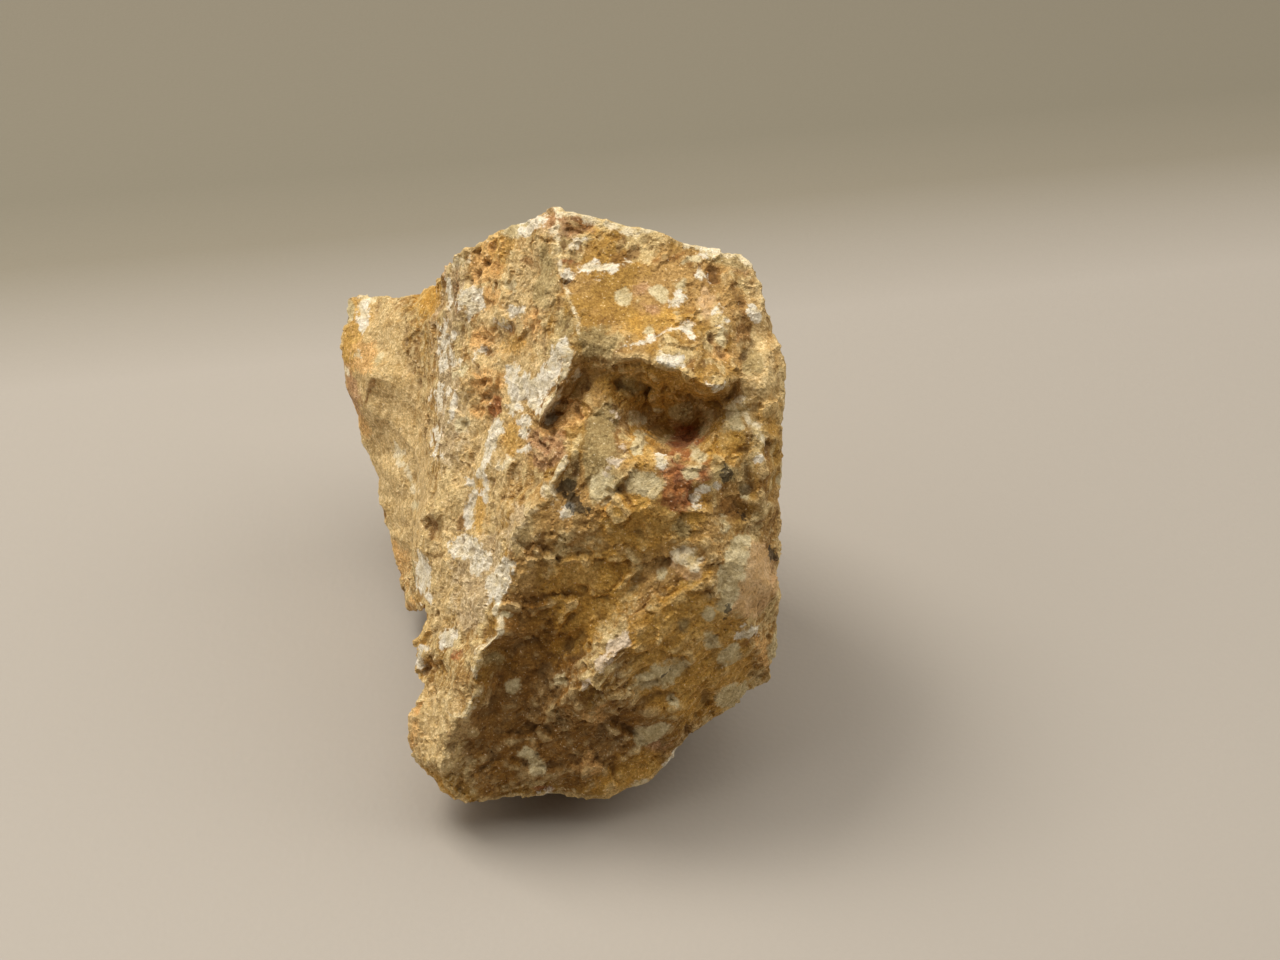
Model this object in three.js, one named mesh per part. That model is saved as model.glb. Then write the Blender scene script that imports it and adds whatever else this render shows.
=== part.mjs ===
// Rough spotted fawn stone: one broken lump of spotted rock, in millimetres, +Z up.
// The origin is the middle of its box, on the plane that it rests on.
import * as THREE from 'three';
import { SimplexNoise } from 'three/addons/math/SimplexNoise.js';
import { TessellateModifier } from 'three/addons/modifiers/TessellateModifier.js';
import { mergeGeometries, mergeVertices } from 'three/addons/utils/BufferGeometryUtils.js';

// The broken front face leans back from upright, and its foot hangs clear of the ground.
const FACE_LEAN = THREE.MathUtils.degToRad(40);
const FACE_FOOT_RISE = 18;

// Straight edges get a corner at least this often, and no facet side is longer than this.
const EDGE_STEP = 5;
const FACET_SIDE = 5.5;
const MOST_SPLITS = 16;

// Where a facet side runs from outline to outline, its middle is raised by this share of it.
const RAISED_SHARE = 0.2;
const MOST_RAISED = 1;

// The chipped relief of every broken face: how wide its chips are, and how high.
const CHIPS = [
  { width: 9, height: 0.6 },
  { width: 3.4, height: 0.25 },
];
const CHIP_SEED = 7;

// The weathered back and flanks: how many times the folds between their facets are eased,
// and by what share each time.
const EASING = { rounds: 8, share: 0.5 };

// The flat breaks across the back: which way each one faces, and how far in from the
// farthest point it runs.
const BREAKS = [
  { facing: [0.15, 1, 0.05], depth: 3 },
  { facing: [0.6, 0.75, -0.05], depth: 3.5 },
  { facing: [0.2, 0.8, -0.65], depth: 4 },
];

// The resting spot is flat. The relief fades out towards it and stays clear of the ground.
const FADE_FROM = 0.01;
const FADE_TO = 3;
const GROUND_CLEARANCE = 0.05;

const WELD = 1e-3;
const FAWN = 0xa88655;
const ROUGHNESS = 0.9;

// Corners of the front, as [across to the right, up the leaning face, inward from it].
// The outline runs clockwise: the crest, the right side, the foot, the left side, the lobe.
const OUTLINE = {
  crest: [
    [-20, 92, 16], [-17.5, 93, 14], [-14.5, 94, 12], [-9, 96, 7], [-3, 97.5, 2], [-1, 98, 0],
    [2, 98, 0], [6, 97, 1], [11, 95, 1], [15, 95, 0], [19.5, 92.5, 1], [23, 92.5, 2],
    [26.5, 91.5, 3], [30.5, 91, 5],
  ],
  rightSide: [
    [33.5, 85.5, 2], [35.5, 81, 1], [36.5, 76, -1], [37, 72.5, -2], [36.5, 66, -3],
    [36, 62, -2.5], [37, 57.5, -1], [36.5, 53, 0], [36, 49.5, 1], [36.5, 46, 1], [36.5, 40.5, 2],
    [36, 37, 3], [37, 32.5, 6], [36, 28.5, 8], [36.5, 24.5, 10], [36, 21, 12], [35.5, 17.5, 15],
    [33.5, 17, 16],
  ],
  foot: [
    [31, 15.5, 16], [29.5, 14, 16], [25.5, 11.5, 16], [21.5, 8.5, 15], [18.5, 4, 15],
    [14.5, 0.5, 15], [11, -1, 14], [7, -2.5, 14], [2.5, -2, 13], [-4.5, -1.5, 13],
    [-11, -2.5, 13], [-14, -3, 12], [-16.5, -3.5, 11], [-19, -3, 12], [-21.5, -1.5, 13],
    [-24, 1.5, 14], [-27, 5.5, 14], [-28, 7, 14],
  ],
  leftSide: [
    [-27.5, 9.5, 13], [-26, 15, 13], [-24.5, 17.5, 14], [-26, 18.5, 17], [-26, 21.5, 17],
    [-26.5, 24.5, 17], [-24.5, 28.5, 16], [-24.5, 31, 16],
  ],
  lobe: [
    [-30, 27.5, 51], [-32, 27.5, 53], [-32.5, 31.5, 54], [-34, 37.5, 55], [-36, 43, 56],
    [-37.5, 46.5, 57], [-38.5, 53, 59], [-40, 57.5, 60], [-42, 62.5, 60], [-43.5, 68.5, 60],
    [-45, 74, 60], [-45.5, 78, 60], [-45, 85, 61], [-44.5, 89, 61], [-40.5, 89, 59],
    [-32.5, 88, 54], [-27.5, 89.5, 52], [-26, 90, 50], [-23.5, 90, 34], [-21.5, 91, 22],
  ],
};

const FRONT_EDGES = {
  // The left plane's rim, the side that recedes behind it, and the groove where the lobe joins.
  rim: [
    [-19.5, 87.5, 16], [-19, 84, 15], [-18.5, 78, 14], [-19, 72, 13], [-20, 66.5, 13],
    [-21, 59.5, 13], [-21.5, 54.5, 13], [-22.5, 49.5, 13], [-24, 47, 14], [-24, 42.5, 14],
    [-24, 37, 15], [-24, 33.5, 15],
  ],
  recedingSide: [
    [-24, 82, 31], [-23.5, 76.5, 30], [-24.5, 67.5, 30], [-25, 58, 29], [-26, 49, 27],
    [-27, 42, 25], [-27, 36, 24], [-26.5, 32, 22],
  ],
  lobeGroove: [
    [-25, 86.5, 43], [-27.5, 82, 43], [-28.5, 77, 44], [-28.5, 68, 44], [-29, 58.5, 45],
    [-29.5, 49, 46], [-30, 39.5, 47], [-30.5, 33, 49],
  ],
  // The ridge between the left plane and the front, from the apex down to the tip.
  upperRidge: [
    [-2.5, 94.5, -2], [-1.5, 91, -3], [-1, 86.5, -4], [1, 82.5, -6], [2.5, 78, -8],
    [3, 74, -10],
  ],
  flakeEdge: [[2.5, 71.5, -10.5], [0, 67.5, -10], [-2.5, 64.5, -9], [-3.5, 62.5, -8]],
  flakeFoot: [[3.5, 72, -5], [2.5, 69.5, -2], [1, 66.5, -1], [-2, 63, -2], [-3.5, 61.5, -6]],
  sliverEdge: [[1, 56.5, -12], [0, 53, -11.5], [-1.5, 49, -10]],
  sliverFoot: [[2.5, 55.5, -7], [1, 52, -6.5], [-1, 48.5, -7]],
  lowerRidge: [
    [-5, 48, -10], [-7, 45.5, -9.5], [-8, 41.5, -9], [-8.5, 37.5, -8], [-10, 34.5, -7],
    [-11, 33, -6], [-10, 30, -6], [-10.5, 27.5, -5.5], [-13.5, 24.5, -4], [-15, 20, -2.5],
    [-16, 18.5, -1],
  ],
  tipRidge: [
    [-14, 18, -1.5], [-15.5, 15.5, -0.5], [-16.5, 13.5, 1], [-18.5, 13, 2.5], [-19.5, 10.5, 4],
    [-20, 7.5, 6], [-21, 4, 7],
  ],
  tipEdge: [[-23, 4.5, 9], [-24.5, 5, 11]],
  // The upper facet's right side, the crack beside it, and the lip over the hollow.
  browEdge: [[29, 84.5, -1], [29.5, 80, -3], [29.5, 75, -5], [29, 69.5, -8]],
  crack: [[30, 82, 0], [30.5, 78.5, 1], [31, 75, -1]],
  lip: [
    [6.5, 72.5, -11], [9.5, 72.5, -12], [13, 72.5, -12.5], [15, 71.5, -13], [17, 71, -13.5],
    [19, 70.5, -13.5], [21.5, 69, -14], [23.5, 68, -14], [26, 68.5, -12],
  ],
  underLip: [
    [6.5, 70.5, -6.5], [9.5, 68.5, -5], [13.5, 67.5, -3], [17, 67.5, -4], [21, 66.5, -3],
    [24.5, 65.5, -3], [27.5, 66.5, -4],
  ],
  hollowBottom: [[11, 65, -5], [13, 62.5, 0], [16, 61, 2], [21.5, 60, 4], [25, 63, 1]],
  sill: [
    [4.5, 66, -7], [8, 62, -9.5], [12, 58, -12], [17, 56.5, -12], [21, 56.5, -11],
    [23.5, 59, -10], [26, 62, -9], [28.5, 64.5, -7.5],
  ],
  // The thin ridge near the right side, and the breaks across the lower front.
  thinRidge: [
    [30, 66.5, -7], [31.5, 62.5, -8], [33, 58.5, -8], [33, 53.5, -8], [32.5, 49.5, -7],
    [33.5, 44.5, -3],
  ],
  shoulder: [[-5, 40, -7], [-2.5, 42, -8], [3, 46.5, -10], [9, 48.5, -12], [13.5, 49, -13]],
  slantingRidge: [
    [24.5, 40, -9.5], [22.5, 36.5, -9], [20, 34.5, -8.5], [16.5, 32, -8], [13.5, 29.5, -7.5],
    [10.5, 26.5, -7], [7, 23.5, -6], [4.5, 19, -4], [1, 17, -1], [-2.5, 14, 2],
  ],
  trough: [[14.5, 37.5, -6.5], [9.5, 33, -3], [4.5, 28.5, -1], [-0.5, 23.5, 1.5], [-5.5, 18.5, 3.5]],
};

const FRONT_CORNERS = {
  leftPlaneTop: [
    [-11, 90, 8], [-11, 83.5, 6], [-12.5, 76.5, 9], [-7, 75.5, 1], [-4.5, 82.5, -2],
    [-5.5, 91.5, 1], [-3, 77.5, -4], [-10, 80, 4],
  ],
  leftPlaneMiddle: [
    [-14.5, 70, 8], [-7, 66, 0], [-14.5, 61.5, 8], [-8.5, 58, -1], [-16, 53, 8],
    [-10.5, 49.5, 1], [-17, 44.5, 8], [-12, 41, 1], [-23, 46, 17], [-23.5, 43.5, 17],
    [-21, 47.5, 11.5], [-21, 42, 11],
  ],
  leftPlaneBottom: [
    [-19, 35.5, 9], [-15, 32.5, 2], [-20.5, 27, 10], [-16, 26, 2], [-21.5, 20.5, 10],
    [-19, 17.5, 5], [-23, 13.5, 10], [-24, 8, 11], [-23, 23, 11], [-23.5, 20, 16],
    [-21, 23, 9], [-20, 0.5, 9.5],
  ],
  pittedPatch: [[-1, 59.5, -8], [2.5, 61, -9], [-3.5, 56, -7], [-2.5, 53, -7], [4, 59.5, -10]],
  upperFacet: [
    [4.5, 92, -1], [9.5, 87.5, -3], [17, 89, -1], [23.5, 88, 0], [4.5, 82.5, -5.5],
    [13, 81.5, -6], [21, 82.5, -4], [7, 76.5, -10], [14.5, 76, -10.5], [22.5, 75.5, -9],
    [26.5, 81, -3],
  ],
  rightFace: [
    [31.5, 87, 2.5], [32, 81, -2.5], [33.5, 74, -4.5], [33, 68.5, -7], [34.5, 65, -6],
    [35, 60, -5.5], [34.5, 57, -4], [35, 54.5, -5], [35, 48.5, -3],
  ],
  lumpInHollow: [[20, 63.5, -4.5]],
  middle: [
    [6.5, 54.5, -11], [10.5, 53, -12], [16, 52, -12], [22.5, 53, -11], [27, 55, -9.5],
    [30, 56, -6], [31, 51, -5], [28, 49.5, -7], [6.5, 50.5, -11], [21, 46.5, -10.5],
    [27.5, 44.5, -8], [31.5, 42, -6], [0, 43, -7], [4, 43, -8], [13, 44, -9.5],
  ],
  lowerRight: [
    [29, 40, -8], [33.5, 35.5, -3.5], [29.5, 31.5, -5], [24.5, 30, -5.5], [21, 26.5, -4],
    [28.5, 24.5, 1], [33, 24, 5], [23, 19, 3], [16, 23, -3], [13, 16, 2], [18, 12, 6],
    [26.5, 17, 7], [14.5, 7.5, 9], [9.5, 12.5, 4], [7.5, 5, 8],
  ],
  lowerLeft: [
    [2.5, 10.5, 4.5], [1.5, 3.5, 9], [-7, 33, -4.5], [-3, 33, -4.5], [3, 36.5, -5],
    [-4, 28, -1.5], [-8.5, 24.5, -0.5], [-10.5, 19.5, 2], [-12.5, 14, 4], [-7.5, 13, 5],
    [-4, 8, 6.5], [-14.5, 7, 7], [-9.5, 4, 8.5], [-3.5, 2.5, 9.5],
  ],
  lobe: [
    [-38, 72.5, 49], [-40.5, 67, 53], [-43, 69.5, 58], [-34.5, 83, 50], [-40, 81.5, 55],
    [-33.5, 75.5, 48], [-34.5, 64, 50], [-33, 53, 49], [-33, 41.5, 50], [-32, 33, 51],
  ],
};

// Corners of the back and the underside, as [right, back, up].
const RESTING_SPOT = {
  rim: [[-20, 42, 0], [-6, 36, 0], [12, 38, 0], [23, 50, 0], [20, 66, 0], [4, 78, 0], [-16, 76, 0],
    [-21, 60, 0]],
  inside: [[0, 57, 0], [10, 54, 0], [-10, 60, 0], [5, 67, 0]],
};

const BACK_EDGES = {
  underFoot: [[-20, 24, 4.5], [-5, 20, 3.5], [10, 21, 4], [22, 32, 7]],
  heel: [[-31, 80, 10], [-19, 92, 6], [0, 95, 5], [15, 88, 5], [28, 74, 9], [33, 58, 16]],
  bulge: [[-36, 98, 36], [-22, 106, 32], [-5, 104, 34], [12, 98, 38], [27, 86, 39], [35, 70, 42]],
  shoulder: [
    [-34, 102, 45], [-24, 103, 46], [-10, 99, 52], [5, 93, 60], [18, 88, 62], [28, 81, 60],
    [34, 73, 61],
  ],
  nape: [[-12, 80, 73], [0, 77, 80], [14, 77, 75], [26, 76, 73]],
  rib: [[-9, 89, 66], [-5, 98, 56], [-2, 103, 46]],
  stepEdge: [[4, 94, 50], [13, 91, 52], [22, 84, 50]],
  stepFoot: [[4, 97, 44], [14, 95, 46], [24, 87, 45]],
};

const BACK_CORNERS = {
  rightWall: [[36, 62, 52], [35, 57, 30], [32, 46, 16]],
  underLeft: [[-24, 46, 8], [-27, 64, 5]],
  lowBack: [[-16, 95, 20], [8, 96, 20], [24, 82, 24]],
  highBack: [[8, 88, 68], [20, 83, 67]],
};

const lean = { sin: Math.sin(FACE_LEAN), cos: Math.cos(FACE_LEAN) };
const FACE_OUTWARD = new THREE.Vector3(0, -lean.cos, lean.sin);
const FACE_INWARD = FACE_OUTWARD.clone().negate();

// A corner set out on the leaning face, in the stone's own directions.
function onFace([across, up, inward]) {
  const back = up * lean.sin + inward * lean.cos;
  const rise = FACE_FOOT_RISE + up * lean.cos - inward * lean.sin;
  return new THREE.Vector3(across, back, rise);
}

function inStone([right, back, up]) {
  return new THREE.Vector3(right, back, up);
}

// Where a corner falls when it is looked at square to the leaning face.
function flattened({ x, y, z }) {
  return new THREE.Vector2(x, y * lean.sin + (z - FACE_FOOT_RISE) * lean.cos);
}

function between(from, to) {
  const steps = Math.ceil(from.distanceTo(to) / EDGE_STEP);
  return Array.from({ length: steps }, (_, step) => from.clone().lerp(to, step / steps));
}

function alongEdge(corners) {
  const pieces = corners.slice(1).map((corner, i) => between(corners[i], corner));
  return [...pieces.flat(), corners.at(-1)];
}

function alongLoop(corners) {
  return alongEdge([...corners, corners[0]]).slice(0, -1);
}

// True where a point lies inside the circle through three corners that run anticlockwise.
function inCircle(corners, point) {
  const [a, b, c] = corners.map((corner) => corner.clone().sub(point));
  const turn = a.lengthSq() * b.cross(c) - b.lengthSq() * a.cross(c) + c.lengthSq() * a.cross(b);
  return turn > 0;
}

const sidesOf = ([a, b, c]) => [[a, b], [b, c], [c, a]];

// Joins flat points into a net of even triangles, by Delaunay's rule: each new point takes
// the place of the triangles whose circles it falls in.
function joinedNet(points) {
  const far = 1e4;
  const frame = [[-far, -far], [far, -far], [0, far]].map(([x, y]) => new THREE.Vector2(x, y));
  const all = [...points, ...frame];
  const count = points.length;
  let net = [[count, count + 1, count + 2]];
  points.forEach((point, index) => {
    const struck = new Set(net.filter((triangle) => inCircle(triangle.map((i) => all[i]), point)));
    const sides = [...struck].flatMap(sidesOf);
    const known = new Set(sides.map(String));
    const rim = sides.filter(([a, b]) => !known.has(String([b, a])));
    net = net.filter((triangle) => !struck.has(triangle)).concat(rim.map((side) => [...side, index]));
  });
  return net.filter((triangle) => triangle.every((i) => i < count));
}

function isInside(loop, { x, y }) {
  const crossings = loop.filter((a, i) => {
    const b = loop[(i + 1) % loop.length];
    return a.y > y !== b.y > y && x < a.x + ((b.x - a.x) * (y - a.y)) / (b.y - a.y);
  });
  return crossings.length % 2 === 1;
}

// One side of the stone: the net between the outline and that side's own corners. A facet
// side that runs from outline to outline is split at a raised middle, so that the front
// and the back never touch there.
function sheet(outline, ownCorners, raise) {
  const corners = [...outline, ...ownCorners];
  const flat = corners.map(flattened);
  const flatOutline = flat.slice(0, outline.length);
  const isChord = ([a, b]) => {
    const apart = Math.abs(a - b);
    return a < outline.length && b < outline.length && apart !== 1 && apart !== outline.length - 1;
  };
  const middles = new Map();
  const middleOf = ([a, b]) => {
    const key = String([a, b].sort((i, j) => i - j));
    if (!middles.has(key)) {
      const raised = Math.min(MOST_RAISED, RAISED_SHARE * corners[a].distanceTo(corners[b]));
      const middle = corners[a].clone().lerp(corners[b], 0.5).addScaledVector(raise, raised);
      middles.set(key, corners.push(middle) - 1);
    }
    return middles.get(key);
  };
  const centre = ([a, b, c]) => flat[a].clone().add(flat[b]).add(flat[c]).divideScalar(3);
  const net = joinedNet(flat).filter((triangle) => isInside(flatOutline, centre(triangle)));
  const triangles = net.flatMap((triangle) => {
    // The corners in turn with the raised middles between them, as a fan from the first middle.
    const loop = sidesOf(triangle).flatMap((side) => (
      isChord(side) ? [side[0], middleOf(side)] : [side[0]]
    ));
    const start = loop.findIndex((i) => i >= flat.length);
    const turned = start < 0 ? loop : [...loop.slice(start), ...loop.slice(0, start)];
    return turned.slice(2).map((corner, i) => [turned[0], turned[i + 1], corner]);
  });
  return { corners, triangles };
}

function seededRandom(seed) {
  const [factor, modulus] = [16807, 2147483647];
  let state = seed;
  return () => {
    state = (state * factor) % modulus;
    return state / modulus;
  };
}

// Chips the broken faces along their normals, and leaves the resting spot flat.
function chip(geometry) {
  const noise = new SimplexNoise({ random: seededRandom(CHIP_SEED) });
  const { position, normal } = geometry.attributes;
  const point = new THREE.Vector3();
  const outward = new THREE.Vector3();
  for (let i = 0; i < position.count; i += 1) {
    point.fromBufferAttribute(position, i);
    outward.fromBufferAttribute(normal, i);
    const relief = CHIPS.reduce((sum, { width, height }) => {
      const [x, y, z] = point.toArray().map((value) => value / width);
      return sum + height * noise.noise3d(x, y, z);
    }, 0);
    const fade = THREE.MathUtils.smoothstep(point.z, FADE_FROM, FADE_TO);
    point.addScaledVector(outward, relief * fade);
    if (fade > 0) point.z = Math.max(point.z, GROUND_CLEARANCE);
    position.setXYZ(i, ...point.toArray());
  }
}

// Eases the folds of one side of the stone, then breaks it flat. Its border and the resting
// spot stay as they are.
function weather(geometry) {
  const { position } = geometry.attributes;
  const index = geometry.index.array;
  const around = Array.from({ length: position.count }, () => []);
  for (let i = 0; i < index.length; i += 3) {
    sidesOf([index[i], index[i + 1], index[i + 2]]).forEach(([a, b]) => around[a].push(b));
  }
  // Inside a side, every neighbour has this corner as its own neighbour too.
  const isInner = (next, i) => next.every((other) => around[other].includes(i));
  const isFree = (i) => isInner(around[i], i) && position.getZ(i) > FADE_FROM;
  const inner = [...around.keys()].filter(isFree);
  const cornerAt = (i) => new THREE.Vector3().fromBufferAttribute(position, i);
  for (let round = 0; round < EASING.rounds; round += 1) {
    const eased = inner.map((i) => {
      const sum = around[i].reduce((total, next) => total.add(cornerAt(next)), new THREE.Vector3());
      return cornerAt(i).lerp(sum.divideScalar(around[i].length), EASING.share);
    });
    inner.forEach((i, order) => position.setXYZ(i, ...eased[order].toArray()));
  }
  BREAKS.forEach(({ facing, depth }) => {
    const outward = new THREE.Vector3(...facing).normalize();
    const reach = Math.max(...inner.map((i) => cornerAt(i).dot(outward))) - depth;
    inner.forEach((i) => {
      const beyond = Math.max(0, cornerAt(i).dot(outward) - reach);
      position.setXYZ(i, ...cornerAt(i).addScaledVector(outward, -beyond).toArray());
    });
  });
}

// A side's coarse facets, split until no facet side is longer than it should be.
function split(facets) {
  const loose = new THREE.BufferGeometry().setFromPoints(facets.flat());
  return new TessellateModifier(FACET_SIDE, MOST_SPLITS).modify(loose);
}

function stoneGeometry() {
  const outline = alongLoop(Object.values(OUTLINE).flat().map(onFace));
  const frontEdges = Object.values(FRONT_EDGES).flatMap((edge) => alongEdge(edge.map(onFace)));
  const frontCorners = Object.values(FRONT_CORNERS).flat().map(onFace);
  const front = sheet(outline, [...frontEdges, ...frontCorners], FACE_OUTWARD);
  const restingSpot = [
    ...alongLoop(RESTING_SPOT.rim.map(inStone)),
    ...RESTING_SPOT.inside.map(inStone),
  ];
  const backEdges = Object.values(BACK_EDGES).flatMap((edge) => alongEdge(edge.map(inStone)));
  const backCorners = Object.values(BACK_CORNERS).flat().map(inStone);
  const back = sheet(outline, [...restingSpot, ...backEdges, ...backCorners], FACE_INWARD);

  const frontFacets = front.triangles.map((triangle) => triangle.map((i) => front.corners[i]));
  const backFacets = back.triangles.map(([a, b, c]) => [a, c, b].map((i) => back.corners[i]));
  const wornBack = mergeVertices(split(backFacets), WELD);
  weather(wornBack);
  const sides = mergeGeometries([split(frontFacets), wornBack.toNonIndexed()]);
  const geometry = mergeVertices(sides, WELD);
  geometry.computeVertexNormals();
  chip(geometry);
  geometry.computeBoundingBox();
  const { min, max } = geometry.boundingBox;
  geometry.translate(-(min.x + max.x) / 2, -(min.y + max.y) / 2, -min.z);
  geometry.computeVertexNormals();
  return geometry;
}

const spottedRock = new THREE.MeshStandardMaterial({ color: FAWN, roughness: ROUGHNESS });
const stone = new THREE.Mesh(stoneGeometry(), spottedRock);
stone.name = 'stone';

const part = new THREE.Group();
part.add(stone);
export default part;
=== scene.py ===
import math
import random

import bmesh
import bpy
import numpy as np
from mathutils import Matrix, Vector, noise
from mathutils.bvhtree import BVHTree


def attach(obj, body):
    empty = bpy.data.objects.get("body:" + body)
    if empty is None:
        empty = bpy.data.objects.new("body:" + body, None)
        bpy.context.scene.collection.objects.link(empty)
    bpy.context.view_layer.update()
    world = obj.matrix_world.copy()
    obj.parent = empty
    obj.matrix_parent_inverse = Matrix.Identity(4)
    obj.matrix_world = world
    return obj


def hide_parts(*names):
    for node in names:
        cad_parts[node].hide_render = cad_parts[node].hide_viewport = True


# Rough spotted fawn stone: one broken lump of spotted, jasper-like rhyolite on a plain pale top.
# Blender works in metres, and the stone is described in millimetres.
MM = 0.001

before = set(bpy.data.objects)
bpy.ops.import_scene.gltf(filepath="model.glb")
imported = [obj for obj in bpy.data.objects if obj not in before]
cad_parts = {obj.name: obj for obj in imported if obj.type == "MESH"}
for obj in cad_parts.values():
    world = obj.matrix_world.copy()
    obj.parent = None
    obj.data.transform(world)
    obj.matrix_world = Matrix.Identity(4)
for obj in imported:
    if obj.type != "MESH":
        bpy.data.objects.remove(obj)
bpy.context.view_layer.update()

# Noise vectors start from the clock unless they are given a seed.
NOISE_SEED = 7
noise.seed_set(NOISE_SEED)

# ---------------------------------------------------------------- camera

VIEW = {"width": 1280, "height": 960}
LENS = {"focal_mm": 60, "sensor_mm": 36}
CAMERA_AT = Vector((17.07, -293.45, 287.02)) * MM
CAMERA_LOOKS_DOWN = math.radians(40)
VIEW_STEPS = VIEW["width"] * LENS["focal_mm"] / LENS["sensor_mm"]
STEPS_PER_MM = 6
NEAREST_SEEN = 10 * MM

right = Vector((1, 0, 0))
upward = Vector((0, math.sin(CAMERA_LOOKS_DOWN), math.cos(CAMERA_LOOKS_DOWN)))
forward = Vector((0, math.cos(CAMERA_LOOKS_DOWN), -math.sin(CAMERA_LOOKS_DOWN)))

camera_data = bpy.data.cameras.new("camera")
camera_data.lens = LENS["focal_mm"]
camera_data.sensor_width = LENS["sensor_mm"]
camera_data.clip_start = NEAREST_SEEN
camera = bpy.data.objects.new("camera", camera_data)
camera.location = CAMERA_AT
camera.rotation_euler = (math.radians(90) - CAMERA_LOOKS_DOWN, 0, 0)
bpy.context.scene.collection.objects.link(camera)
bpy.context.scene.camera = camera


def sight(across, down):
    """The direction in which a place in the view is seen."""
    aside = (across - VIEW["width"] / 2) / VIEW_STEPS
    above = (VIEW["height"] / 2 - down) / VIEW_STEPS
    return (forward + aside * right + above * upward).normalized()


def seen_at(points):
    """Where points, in metres, are seen: across and down in the view."""
    offset = points - np.array(CAMERA_AT)
    away = offset @ np.array(forward)
    across = VIEW["width"] / 2 + VIEW_STEPS * (offset @ np.array(right)) / away
    down = VIEW["height"] / 2 - VIEW_STEPS * (offset @ np.array(upward)) / away
    return np.column_stack((across, down))


# ---------------------------------------------------------------- markings

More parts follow.
